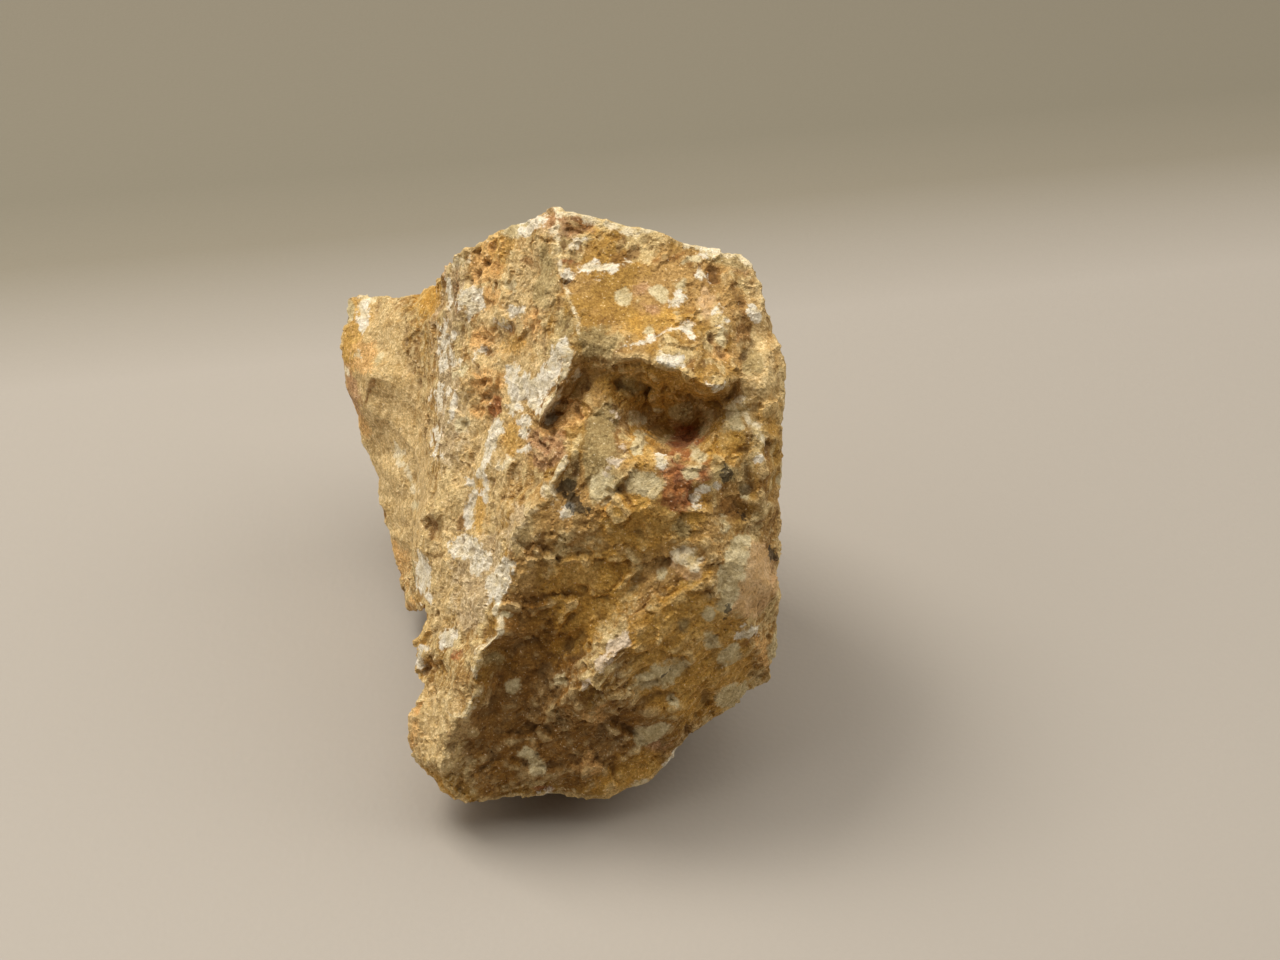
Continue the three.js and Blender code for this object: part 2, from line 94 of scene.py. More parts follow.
# Each spot: across and down in the 1280 by 960 view, its half width and half height there, and
# how far it is turned anticlockwise, in degrees. Each streak: its half width, then its course.
SPOTS = {
    # Paler faces turned to the lamps: partly the rock's own paler colour, partly painted light.
    "bleached_and_painted_light": {
        "cheek": (483, 440, 38, 200, -13),
        "lobe": (387, 430, 42, 150, 10),
        "cheek_tip": (438, 730, 30, 44, 0),
        "right_face": (764, 345, 14, 80, 0),
    },
    # Darker brown on the lower front faces: partly the rock's own brown, partly painted shade where
    # those faces turn from the lamps.
    "brown_and_painted_shade": {
        "lower_left": (528, 690, 48, 110, -22),
        "low_front": (590, 745, 90, 40, 8),
        "slantwise": (665, 600, 34, 7, 40),
    },
    "bone": {
        "upper_left_streak": (575, 242, 15, 4, 20),
        "upper_middle": (599, 268, 17, 6, 8),
        "upper_middle_tail": (626, 262, 8, 3, 20),
        "upper_beside_ridge": (567, 280, 6, 4, 0),
        "upper_right_bright": (677, 299, 8, 6, 20),
        "brow_chip": (706, 253, 6, 3, 0),
        "beside_vug": (701, 275, 5, 5, 0),
        "brow_tilted": (717, 308, 3.5, 6, -20),
        "fork_top": (688, 328, 5, 4, 0),
        "lip_patch": (667, 358, 13, 5, 0),
        "lip_speck": (683, 359, 3, 3, 0),
        "lip_end": (717, 383, 8, 2.5, 0),
        "notch_side": (723, 325, 5, 3, 30),
        "right_face_chip": (755, 313, 7, 9, 0),
        "crest_left": (533, 225, 13, 7, 20),
        "left_white": (471, 301, 11, 17, -10),
        "left_trio_a": (513, 312, 8, 5, 15),
        "left_trio_b": (525, 311, 5, 5, 0),
        "left_trio_c": (503, 322, 8, 4, 35),
        "fork_cap": (560, 353, 7, 6, 30),
        "fork_body": (528, 388, 19, 12, 10),
        "drip_left": (514, 405, 6, 12, 0),
        "drip_right": (534, 403, 6, 11, 0),
        "drop": (524, 426, 5, 10, -10),
        "left_sliver": (480, 353, 8, 3, 35),
        "small_pair": (525, 449, 4, 3, 0),
        "foot_of_cheek": (464, 547, 16, 13, 0),
        "white_spot": (660, 459, 8, 6.5, 0),
        "ridge_spot": (759, 458, 5, 5, 0),
        "middle_right_a": (708, 489, 11, 4.5, 10),
        "middle_right_b": (694, 501, 6, 6, 0),
        "pale_tip": (746, 632, 9, 7, 40),
        "lobe_long": (364, 316, 7, 17, -5),
        "lobe_blade": (424, 574, 7, 25, 6),
        "flake": (421, 658, 5, 16, -5),
        "under_tree": (567, 514, 8, 7, 0),
        "cheek_chip_a": (467, 541, 9, 6, 20),
        "cheek_chip_b": (480, 565, 10, 14, -20),
        "cheek_chip_c": (496, 583, 8, 16, -20),
        "cheek_chip_d": (450, 640, 6, 12, -20),
    },
    "pale": {
        "upper_grey_a": (624, 296, 8, 8, 0),
        "upper_grey_b": (659, 294, 8, 8, 0),
        "upper_grey_c": (682, 287, 7, 4, 30),
        "above_vein": (651, 330, 5, 4, 0),
        "small_round": (678, 315, 4, 4, 0),
        "brow_long": (690, 263, 13, 3, 5),
        "notch_grey": (723, 338, 4, 8, 0),
        "olive_oval": (511, 284, 6, 5, 0),
        "left_ring": (461, 367, 6, 9, -20),
        "cheek_grey": (464, 424, 8, 5, 0),
        "hollow_oval": (634, 419, 4.5, 9, 10),
        "hollow_bright": (658, 409, 6, 3, 10),
        "middle_round": (639, 443, 9, 9, 0),
        "spot_ring_low": (691, 470, 10, 7, 0),
        "spot_ring_high": (700, 455, 8, 7, -20),
        "right_mottle": (736, 414, 9, 15, 20),
        "right_smooth": (747, 491, 6, 9, 10),
        "slim_streak": (724, 524, 4, 9, 15),
        "under_peach": (661, 572, 8, 5, 0),
        "big_pale_rim": (733, 572, 13, 42, -16),
        "small_a": (708, 614, 7, 7, 0),
        "small_b": (712, 638, 7, 7, 30),
        "ringed": (728, 654, 12, 11, 0),
        "speckled": (661, 675, 27, 12, 18),
        "round_low": (674, 700, 6, 5, 0),
        "foot_cream": (730, 694, 16, 11, 40),
        "big_olive_cream": (650, 735, 18, 12, 30),
        "lower_grey_white": (514, 687, 10, 7, 20),
        "tall_low": (603, 488, 13, 17, 0),
        "big_spot": (643, 485, 17, 15, 0),
        "foot_grey_a": (563, 680, 8, 4, 25),
        "foot_grey_b": (505, 612, 5, 4, 0),
        "foot_grey_c": (532, 760, 15, 7, -30),
        "lobe_grey": (379, 356, 5, 7, 0),
        "lobe_low": (415, 509, 3, 9, 0),
    },
    "cream": {
        "left_corner": (457, 259, 10, 5, 10),
        "cheek_blotch": (506, 463, 10, 4, 25),
        "lobe_small_a": (357, 355, 4, 4, 0),
        "lobe_small_b": (348, 368, 3, 4, 0),
        "lobe_middle": (399, 457, 5, 13, 20),
        "lobe_lower": (411, 478, 4, 14, 12),
        "peach_rim": (688, 556, 15, 9, -33),
        "sliver_top": (560, 472, 5, 15, -20),
        "sliver_low": (551, 495, 7, 9, -20),
    },
    "grey_green": {
        "over_lip": (597, 341, 20, 15, -12),
        "lip_lump": (630, 385, 10, 9, 0),
        "tall": (600, 450, 18, 50, -4),
        "hollow_lump": (683, 414, 18, 13, 25),
        "beside_big_spot": (617, 484, 7, 11, 0),
        "right_field": (727, 473, 16, 8, 10),
        "below_spots": (681, 528, 10, 8, 0),
        "lower_right_small": (684, 627, 5, 6, -30),
        "face_low": (495, 660, 11, 5, 0),
        "right_face_low": (752, 362, 11, 13, 0),
        # Grey-green left of the central ridge: partly grey-green rock, partly painted shade on that
        # side.
        "grey_patch_and_ridge_shade": (561, 330, 8, 16, 10),
        "grey_strip_and_ridge_shade": (543, 274, 9, 30, -8),
    },
    "lilac_white": {
        "cheek_low": (472, 585, 20, 44, -4),
        "cheek_low_top": (486, 556, 17, 26, -10),
        "cheek_high": (459, 425, 7, 7, 0),
        "lit_strip": (514, 524, 7, 22, -32),
        "rim_grey": (449, 400, 13, 70, 0),
        "rim_high": (452, 310, 11, 48, -5),
    },
    "lilac": {
        "pitted": (547, 446, 18, 21, 10),
        "upper_small_a": (643, 290, 6, 4, 0),
        "upper_small_b": (651, 309, 9, 5, 0),
        "foot": (658, 748, 8, 5, 0),
    },
    "orange": {
        "crumbly_top": (485, 267, 17, 16, 10),
        "crumbly_crest": (494, 247, 10, 6, 25),
        "crumbly_second": (493, 296, 11, 9, 0),
        "crumbly_ridge": (535, 322, 6, 16, 0),
        "crumbly_third": (484, 340, 12, 12, 0),
        "crumbly_fourth": (487, 383, 19, 14, 15),
        "crumbly_fifth": (484, 407, 16, 10, 10),
        "under_slot": (563, 417, 24, 11, 25),
        "brow_corner": (720, 353, 6, 8, 0),
        "tip_edge": (412, 727, 8, 26, -15),
        "right_foot": (764, 655, 7, 14, 10),
        "round": (594, 716, 12, 9, 0),
        "foot_a": (588, 762, 12, 9, 0),
        "lobe_patch": (364, 357, 12, 17, 0),
        "lobe_end": (414, 607, 9, 8, 0),
    },
    "ochre": {
        "upper_gold": (660, 322, 34, 14, 12),
        "upper_left": (590, 228, 20, 6, -8),
        "cheek_patch": (481, 508, 9, 30, -3),
        "cheek_gold": (511, 437, 12, 17, 15),
        "olive_gold": (515, 342, 10, 12, 0),
        "mustard_face": (727, 444, 25, 19, 20),
        "beside_hollow": (640, 448, 14, 21, 10),
        "under_lip": (660, 390, 62, 22, -4),
        "slantwise": (690, 585, 26, 9, 32),
        "lower_round": (575, 640, 26, 12, 30),
        "right_edge": (768, 420, 8, 22, 0),
        "valley": (590, 588, 46, 40, 30),
        "lower_right": (690, 655, 62, 66, 30),
        "middle": (650, 515, 55, 34, 10),
    },
    "brick": {
        "field": (678, 482, 19, 30, 12),
        "deep": (705, 473, 7, 10, -20),
        "maroon": (684, 442, 17, 13, 15),
        "peach_foot": (683, 576, 5, 5, 0),
        "cheek_dot": (455, 655, 3, 4, 0),
        "foot_line": (544, 790, 8, 2, 0),
        "upper_line": (566, 261, 6, 1.5, 0),
        "cheek_pink": (494, 409, 6, 8, 0),
    },
    "peach": {
        "lump": (688, 569, 15, 11, -30),
        "big": (752, 578, 28, 40, -10),
        "brow_pink": (706, 303, 9, 12, 0),
    },
    "umber": {
        "under_crest": (574, 224, 15, 5, -5),
        "ridge_stain": (528, 262, 5, 4, 0),
        "cheek_pit": (510, 326, 5, 5, 0),
        "cheek_pit_low": (491, 351, 5, 5, 0),
        "sliver_shadow": (572, 469, 4, 12, -35),
        "mottle": (735, 506, 15, 12, 0),
        "rim_pit": (465, 522, 5, 8, 0),
        "foot_pit": (449, 742, 3, 7, -30),
        "slanted_line": (746, 645, 10, 2.5, 30),
        "lobe_crease": (368, 391, 4, 16, -25),
        "lobe_pit": (380, 511, 3, 5, 0),
        # Painted shade: the dark of a notch in the rim, and of the notch under the overhanging
        # flake.
        "rim_notch_painted_shade": (433, 527, 6, 18, -5),
        "flake_notch_painted_shade": (430, 667, 4, 10, -20),
        "vug": (714, 273, 7, 10, -25),
        "notch": (712, 339, 4, 5, 0),
    },
    "black": {
        "tree_a": (568, 488, 4, 8, 0),
        "tree_b": (573, 505, 7, 12, 20),
        "right_field_dots": (725, 475, 4, 5, 0),
        "beside_big_pale": (727, 611, 2.5, 6, 0),
        "mottle_dots": (740, 512, 6, 4, 30),
        "speckled_dots": (664, 673, 5, 2, 30),
        "right_edge_dots": (775, 552, 3, 8, 0),
    },
    "crystal": {
        "slant_a": (619, 646, 11, 9, 45),
        "slant_b": (604, 662, 8, 5, 45),
        "slant_c": (590, 682, 4, 6, 0),
        "chain_a": (612, 413, 3, 4, 0),
        "chain_b": (623, 445, 3, 5, 0),
    },
    "crumbly": {
        "crumbly_top": (485, 269, 18, 19, 10),
        "crumbly_ridge": (535, 322, 6, 16, 0),
        "crumbly_third": (486, 338, 14, 13, 0),
        "crumbly_fourth": (487, 384, 19, 16, 15),
        "crumbly_fifth": (486, 407, 18, 11, 10),
        "pitted": (552, 440, 26, 30, 10),
        "foot_of_cheek": (463, 545, 14, 14, 0),
        "brow_corner": (722, 352, 7, 8, 0),
        "lower_slope": (552, 545, 20, 16, -20),
        "foot_grains": (640, 755, 40, 20, 10),
    },
    "hackly": {
        "middle": (640, 520, 70, 50, 10),
        "valley": (560, 590, 60, 60, -30),
        "lower": (590, 720, 90, 60, 20),
        "under_lip": (650, 382, 62, 20, -5),
    },
    "smooth": {
        "upper_middle": (625, 300, 62, 34, 5),
        "cheek_patch": (482, 508, 9, 28, -3),
        "tall": (600, 452, 15, 45, -4),
        "big_pale": (748, 574, 24, 37, -14),
        "big_spot": (644, 484, 14, 12, 0),
        "fork": (530, 370, 12, 16, 20),
        "blade": (424, 574, 8, 26, 6),
        "peach": (687, 563, 14, 12, -30),
        "hollow": (675, 425, 26, 12, 5),
        "olive_cream": (650, 735, 18, 12, 30),
        "lobe": (385, 430, 40, 130, 8),
    },
}
STREAKS = {
    "bone": {
        "vein": (2, [(621, 346), (634, 343), (648, 341), (660, 337), (671, 332), (684, 326)]),
        "fork_arm": (7, [(566, 347), (557, 360), (551, 372), (542, 384), (533, 392)]),
        "fork_left": (6, [(511, 369), (517, 381), (522, 392)]),
        "trickle_a": (5.5, [(496, 421), (494, 432), (490, 446), (486, 460), (484, 474)]),
        "trickle_b": (3.5, [(488, 483), (487, 498)]),
        "patch_edge": (4, [(470, 482), (473, 496), (471, 512), (473, 527)]),
        "ridge_white": (5, [(507, 563), (499, 578), (491, 598)]),
        "rim_a": (3, [(447, 281), (450, 306)]),
        "rim_b": (3, [(443, 320), (445, 345), (443, 369)]),
        "rim_c": (2.5, [(452, 335), (455, 362)]),
        "rim_d": (3, [(438, 385), (440, 412)]),
        "rim_e": (2, [(452, 393), (449, 422)]),
        "rim_f": (2.5, [(437, 430), (438, 456)]),
    },
    "cream": {
        # Cream streaks along the crests, ridges and flake edges: partly pale bruised rock on the
        # edges, partly painted highlight where the edges catch the light.
        "crest": (4, [(556, 211), (575, 213), (600, 220), (627, 229), (652, 231)]),
        "ridge": (1.3, [(554, 222), (557, 246), (563, 280), (572, 310), (577, 335)]),
        "crest_right": (4, [(690, 246), (715, 251), (738, 254), (748, 262)]),
        "thin_ridge": (2.5, [(741, 395), (752, 415), (762, 440), (766, 452)]),
        "flake_edge": (4, [(573, 352), (571, 368), (562, 382), (552, 398), (543, 416)]),
        "ridge_line": (2, [(509, 560), (494, 600), (500, 631), (482, 652), (471, 676)]),
        "foot_ridge": (2.5, [(476, 692), (466, 712), (452, 716)]),
    },
    "crystal": {
        "chain": (2.5, [(624, 452), (616, 461), (606, 474)]),
        "foot": (2, [(590, 676), (584, 690)]),
    },
    "smooth": {
        "crest": (6, [(552, 210), (575, 212), (600, 219), (627, 229), (655, 232), (700, 247)]),
    },
    "umber": {
        "upper_ledge": (1.6, [(652, 262), (668, 257), (684, 255)]),
        "rim_line": (1.5, [(451, 273), (456, 290), (461, 316)]),
        "middle_line": (1.5, [(616, 418), (620, 430), (617, 452)]),
        "ochre_edge": (1.5, [(584, 529), (597, 518), (612, 507)]),
        "right_crack": (2.5, [(735, 286), (741, 303), (745, 322), (744, 340)]),
    },
}

# Small holes: placed as the spots are, with a depth in millimetres at the end, which is below
# zero for a lump.
DENTS = {
    "vug": (714, 273, 7, 10, -25, 1.0),
    "notch": (712, 339, 4, 5, 0, 0.7),
    "crumb_a": (487, 262, 4, 3, 0, 0.9),
    "crumb_b": (478, 273, 5, 3, 20, 0.8),
    "crumb_c": (468, 280, 3, 3, 0, 0.8),
    "crumb_d": (475, 253, 4, 2, 30, 0.7),
    "cheek_a": (510, 326, 6, 4, 20, 0.5),
    "cheek_b": (490, 351, 6, 3, 20, 0.5),
    "cheek_c": (481, 384, 5, 3, 0, 0.8),
    "cheek_d": (487, 399, 4, 3, 0, 0.7),
    "pitted_a": (538, 443, 4, 3, 0, 0.8),
    "pitted_b": (562, 435, 3, 2, 0, 0.7),
    "pitted_c": (576, 413, 4, 2, 20, 0.8),
    "pitted_d": (556, 412, 3, 2, 0, 0.7),
    "triangle": (768, 448, 4, 5, 0, 0.9),
    "lobe": (380, 511, 3, 5, 0, 0.8),
    "rim_fill": (436, 518, 9, 8, 0, -1.2),
    "hollow_lump": (683, 414, 22, 15, 25, -0.5),
    "flake": (558, 480, 6, 26, -22, -0.5),
    "peach_lump": (689, 561, 15, 12, -30, -0.8),
    "lip_lump": (630, 385, 10, 9, 0, -0.4),
    "round_lump": (594, 716, 12, 9, 0, -0.3),
}
DENT_SOFTNESS = 0.4

# Markings strewn over the sides that the listed ones leave bare: how many of each kind,
# and their smallest and largest radius in millimetres.
STREWN = {
    "ochre": (26, 3.0, 8.0),
    "lilac": (14, 2.5, 6.0),
    "orange": (18, 1.5, 5.0),
    "grey_green": (24, 1.5, 6.0),
    "cream": (22, 0.7, 2.5),
    "bone": (80, 0.5, 2.4),
    "pale": (70, 0.6, 3.0),
    "peach": (8, 1.5, 4.0),
    "brick": (9, 1.0, 4.0),
    "umber": (24, 0.8, 3.5),
    "black": (18, 0.4, 1.2),
    "crystal": (8, 0.6, 2.0),
    "crumbly": (16, 3.0, 7.0),
    "smooth": (14, 4.0, 9.0),
    "hackly": (8, 6.0, 12.0),
}
STREWN_STRETCH = 0.6
STREWN_SEED = 23
TURNED_AWAY = -0.05
REACH_LIMIT = 4.0

# ---------------------------------------------------------------- the stone's mesh

# Longest edges, in millimetres: finer on the broken front, where most of the detail is.
FRONT_EDGE = 0.69
BACK_EDGE = 2.2
SPLIT_ROUNDS = 4
SOFTENED = {"rounds": 2, "share": 0.5}
MERGE_DISTANCE = 0.001 * MM
RESTING_HEIGHT = 0.02 * MM


def in_front(edge):
    """Whether an edge is turned towards the camera."""
    middle = (edge.verts[0].co + edge.verts[1].co) / 2
    normal = sum((face.normal for face in edge.link_faces), Vector())
    return normal.dot(CAMERA_AT - middle) > 0


def refined_copy(node):
    """A closed copy of a node's mesh, with its edges split until they are short enough."""
    shape = bmesh.new()
    shape.from_mesh(node.data)
    bmesh.ops.remove_doubles(shape, verts=shape.verts, dist=MERGE_DISTANCE)
    for _ in range(SPLIT_ROUNDS):
        shape.normal_update()
        long_edges = []
        for edge in shape.edges:
            length = edge.calc_length() / MM
            if length > BACK_EDGE or (length > FRONT_EDGE and in_front(edge)):
                long_edges.append(edge)
        bmesh.ops.subdivide_edges(shape, edges=long_edges, cuts=1, use_single_edge=True)
        uneven = [face for face in shape.faces if len(face.verts) > 3]
        bmesh.ops.triangulate(shape, faces=uneven, quad_method="SHORT_EDGE")
    raised = [vert for vert in shape.verts if vert.co.z > RESTING_HEIGHT]
    for _ in range(SOFTENED["rounds"]):
        bmesh.ops.smooth_vert(
            shape,
            verts=raised,
            factor=SOFTENED["share"],
            use_axis_x=True,
            use_axis_y=True,
            use_axis_z=True,
        )
    shape.normal_update()
    return shape


shape = refined_copy(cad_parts["stone"])
surface = BVHTree.FromBMesh(shape)
points = np.array([vert.co for vert in shape.verts])
normals = np.array([vert.normal for vert in shape.verts])
edges = np.array([[vert.index for vert in edge.verts] for edge in shape.edges])
places = [Vector(point) / MM for point in points]

# ---------------------------------------------------------------- marking fields

# How far outlines stray from their plain shapes: the width of the waves in millimetres, and
# their reach in view steps.
STRAYS = [(4.0, 6.4), (1.5, 2.4)]

seen = seen_at(points)
strayed = seen.copy()
for stray_width, stray_reach in STRAYS:
    strays = np.array([noise.noise_vector(place / stray_width) for place in places])
    strayed += strays[:, :2] * stray_reach


def beyond_spot(places, across, down, half_width, half_height, turn):
    """How far places lie outside a spot's edge, in view steps. Inside it they are below zero."""
    offset = places - (across, down)
    lean = math.radians(turn)
    along = (offset[:, 0] * math.cos(lean) - offset[:, 1] * math.sin(lean)) / half_width
    beside = (offset[:, 0] * math.sin(lean) + offset[:, 1] * math.cos(lean)) / half_height
    rounds = np.maximum(np.hypot(along, beside), 1e-6)
    slope = np.hypot(along / half_width, beside / half_height) / rounds
    return np.maximum((rounds - 1) / slope, -min(half_width, half_height))


def beyond_streak(places, half_width, course):
    """The same for a streak that follows a course."""
    nearest = np.full(len(places), np.inf)
    for start, end in zip(course, course[1:]):
        step = np.subtract(end, start)
        share = np.clip((places - start) @ step / (step @ step), 0, 1)
        nearest = np.minimum(nearest, np.linalg.norm(places - start - share[:, None] * step, axis=1))
    return nearest - half_width


def on_surface(across, down):
    """The first point of the stone that is met at a place in the view, or nothing."""
    return surface.ray_cast(CAMERA_AT, sight(across, down))[0]


def kept_near(reach, anchors, margin):
    """Keeps a marking to the part of the stone round its anchors."""
    distance = np.min([np.linalg.norm(points - np.array(a), axis=1) for a in anchors], axis=0)
    return np.maximum(reach, distance / MM - margin)


# How far a marking may reach from its anchors: a spot by a share of its half width and some
# millimetres more, and a streak by so many millimetres.
GATE = {"share": 1.8, "extra_mm": 3.5, "streak_mm": 7.0}


def marked(across, down, half_width, half_height, turn):
    """How far each vertex is beyond a spot's edge, in millimetres, kept to the part it lies on."""
    anchor = on_surface(across, down)
    if anchor is None:
        return np.full(len(points), REACH_LIMIT)
    reach = beyond_spot(strayed, across, down, half_width, half_height, turn) / STEPS_PER_MM
    margin = GATE["share"] * max(half_width, half_height) / STEPS_PER_MM + GATE["extra_mm"]
    return kept_near(reach, [anchor], margin)


fields = {kind: np.full(len(points), REACH_LIMIT) for kind in SPOTS}
for kind, spots in SPOTS.items():
    for spot in spots.values():
        fields[kind] = np.minimum(fields[kind], marked(*spot))
for kind, streaks in STREAKS.items():
    for half_width, course in streaks.values():
        anchors = [anchor for anchor in (on_surface(*place) for place in course) if anchor]
        reach = beyond_streak(strayed, half_width, course) / STEPS_PER_MM
        fields[kind] = np.minimum(fields[kind], kept_near(reach, anchors, GATE["streak_mm"]))


def smoothstep(values, low, high):
    """A soft step from 0 at the low value to 1 at the high one."""
    share = np.clip((values - low) / (high - low), 0, 1)
    return share * share * (3 - 2 * share)


to_camera = np.array(CAMERA_AT) - points
facing = np.einsum("ij,ij->i", normals, to_camera) / np.linalg.norm(to_camera, axis=1)
bare = np.flatnonzero(facing < TURNED_AWAY)
draw = random.Random(STREWN_SEED)
for kind, (count, smallest, largest) in STREWN.items():
    for _ in range(count):
        centre = points[bare[draw.randrange(len(bare))]]
        radius = draw.uniform(smallest, largest)
        along = np.array(Vector([draw.uniform(-1, 1) for _ in range(3)]).normalized())
        offset = (points - centre) / MM
        reach = np.sqrt(np.sum(offset**2, axis=1) - STREWN_STRETCH * (offset @ along) ** 2) - radius
        fields[kind] = np.minimum(fields[kind], reach)


# ---------------------------------------------------------------- worn hollows


def averaged(values):
    """Each vertex's value averaged with its neighbours' values."""
    sums = [
        np.bincount(edges[:, here], values[edges[:, there]], len(values))
        for here, there in ((0, 1), (1, 0))
    ]
    return (values + sum(sums)) / (1 + neighbour_count)


def smoothed(vectors, rounds):
    """Each vertex's vector averaged with its neighbours', a number of times over."""
    for _ in range(rounds):
        vectors = np.column_stack([averaged(column) for column in vectors.T])
    return vectors


# Places where the broken steps are worn to gentle slopes: placed as the spots are, with the
# share of the wear at the end.
WORN = {
    "hollow": (674, 424, 92, 40, 0, 0.85),
    "ledge": (622, 522, 100, 48, 8, 0.9),
    "slot": (583, 395, 32, 56, -15, 0.85),
    "sliver": (575, 468, 34, 46, -20, 0.8),
    "slant": (650, 612, 60, 26, 40, 0.7),
    "valley_step": (550, 585, 80, 52, 0, 0.95),
    "right_corner": (758, 322, 26, 30, 0, 0.85),
    "brow_corner": (742, 290, 14, 16, 0, 0.7),
}
WEAR_ROUNDS = 90
WEAR_EDGE = 2.0

neighbour_count = np.bincount(edges.ravel(), minlength=len(points))
worn_down = smoothed(points, WEAR_ROUNDS)
for *spot, share in WORN.values():
    wear = share * smoothstep(-marked(*spot), -WEAR_EDGE / 2, WEAR_EDGE)
    points = points + (worn_down - points) * wear[:, None]
for vert, place in zip(shape.verts, points):
    vert.co = place
shape.normal_update()
normals = np.array([vert.normal for vert in shape.verts])
surface = BVHTree.FromBMesh(shape)

# ---------------------------------------------------------------- relief

# Chips tilt each patch of surface its own way: how wide the patches are, in millimetres, and how
# steep. The smallest are as small as the mesh shows.
CHIPS = [
    {"width": 5.2, "slope": 0.12, "offset": 3.1},
    {"width": 2.3, "slope": 0.13, "offset": 17.7},
    {"width": 1.1, "slope": 0.11, "offset": 31.3},
]
CHIP_SCATTER = 53.7
WARP = {"width": 5.0, "reach": 1.1}
CRUMBS = {"width": 1.3, "depth": 0.7, "rim": 0.6}

# Where the relief changes round a smooth, crumbly or hackly part, in millimetres inside its edge.
RELIEF_EDGES = {"smooth": (-0.6, 1.0), "crumbly": (-0.4, 1.0), "hackly": (-2.0, 3.0)}
HACKLY_GAIN = 0.6
SMOOTH_KEEPS = 0.25
DENT_SLOPE = 0.7
GROUND_FADE = (0.02, 3.0)
GROUND_CLEARANCE = 0.03
STANDING_ROUNDS = 5

# The rock's fabric: long fine ribs, along the line between two places in the view. Each lies
# on one side of an edge line, given by two places with the fabric on its left.
FABRICS = {
    "cheek": {"line": ((548, 250), (450, 690)), "edge": ((580, 200), (470, 720))},
    "lower": {"line": ((596, 668), (700, 590)), "edge": ((470, 720), (800, 500))},
}
RIBS = [
    {"width": 2.6, "stretch": 0.75, "height": 0.12},
    {"width": 0.9, "stretch": 0.85, "height": 0.1},
]
RIB_CREST = 0.22
EDGE_BLEND = 25

# The matrix's clouds: their width in millimetres, where their noise starts, and how much they
# even out on smooth parts. Their noise has a fade from octave to octave, a ratio and a count.
CLOUDS = {
    "golden": {"width": 9.0, "shift": 2.7, "evens": 0.0},
    "paler": {"width": 4.5, "shift": 11.9, "evens": 0.35},
    "browner": {"width": 3.0, "shift": 23.1, "evens": 0.35},
}
CLOUD_STRETCH = 0.6
CLOUD_OCTAVES = (0.8, 2.0, 4)


def chip_height(place, width, slope, offset):
    """How high one size of chips stands at a place, both in millimetres."""
    shift = Vector((offset, offset, offset))
    centre = noise.voronoi(place / width + shift)[1][0]
    tilt = noise.cell_vector(centre * CHIP_SCATTER) * 2 - Vector((1, 1, 1))
    return slope * width * (place / width + shift - centre).dot(tilt)


def relief_at(place):
    """The chipped relief's height at a place, both in millimetres."""
    warp = noise.noise_vector(place / WARP["width"]) * WARP["reach"]
    return sum(chip_height(place + warp, **chip) for chip in CHIPS)


def crumbs_at(place):
    """How deep the crumbly rock is pitted at a place, both in millimetres."""
    nearest = noise.voronoi(place / CRUMBS["width"])[0][0]
    return CRUMBS["depth"] * max(0.0, 1 - nearest / CRUMBS["rim"])


def squeezed(line, width, stretch):
    """Every vertex's place for noise drawn out along a line between two places in the view."""
    start, end = (on_surface(*place) for place in line)
    along = (end - start).normalized()
    return [(place - along * place.dot(along) * stretch) / width for place in places]


def clouds(width, shift):
    """Soft clouds, about -1 to 1, at every vertex, a little drawn out along the cheek."""
    offset = Vector((shift, -shift, shift))
    drawn = squeezed(FABRICS["cheek"]["line"], width, CLOUD_STRETCH)
    return np.array([noise.fractal(place + offset, *CLOUD_OCTAVES) for place in drawn])


def ribs(line, width, stretch):
    """Sharp-crested ribs, about -1 to 1, at every vertex, along a line between two places."""
    drawn = squeezed(line, width, stretch)
    return np.array([(RIB_CREST - abs(noise.noise(place))) / RIB_CREST for place in drawn])


def left_of(edge):
    """How far each vertex lies left of an edge line in the view: 1 on its left, 0 on its right."""
    start, step = np.array(edge[0]), np.subtract(edge[1], edge[0])
    offset = seen - start
    aside = (offset[:, 1] * step[0] - offset[:, 0] * step[1]) / np.linalg.norm(step)
    return smoothstep(aside, -EDGE_BLEND, EDGE_BLEND)


places = [Vector(point) / MM for point in points]
fabric = np.zeros(len(places))
ribbing = np.zeros(len(places))
for weave in FABRICS.values():
    side = left_of(weave["edge"])
    for rib in RIBS:
        crests = ribs(weave["line"], rib["width"], rib["stretch"]) * side
        ribbing += crests * rib["height"]
    # The finest ribs also streak the colour.
    fabric += crests
relief = np.array([relief_at(place) for place in places])
crumbs = np.array([crumbs_at(place) for place in places])
smooth, crumbly, hackly = (
    smoothstep(-fields.pop(kind), *edge) for kind, edge in RELIEF_EDGES.items()
)
height = relief * (1 + HACKLY_GAIN * hackly) + ribbing
height = height * (1 - (1 - SMOOTH_KEEPS) * smooth) - crumbs * crumbly
for *spot, depth in DENTS.values():
    reach, width = marked(*spot), min(spot[2:4]) / STEPS_PER_MM
    height -= depth * smoothstep(-reach, -DENT_SOFTNESS, width * DENT_SLOPE)
height *= smoothstep(points[:, 2] / MM, *GROUND_FADE)

moved = points + normals * height[:, None] * MM
raised = points[:, 2] > RESTING_HEIGHT
moved[raised, 2] = np.maximum(moved[raised, 2], GROUND_CLEARANCE * MM)

tones = {
    tone: clouds(cloud["width"], cloud["shift"]) - cloud["evens"] * smooth
    for tone, cloud in CLOUDS.items()
}
tones["streaky"] = fabric

# How sharply the surface stands out, or is sunk, over about a millimetre. It sets where crests
# are painted lighter and crevices darker.
standing_out = np.einsum("ij,ij->i", moved - smoothed(moved, STANDING_ROUNDS), normals) / MM
standing_out = averaged(averaged(standing_out))

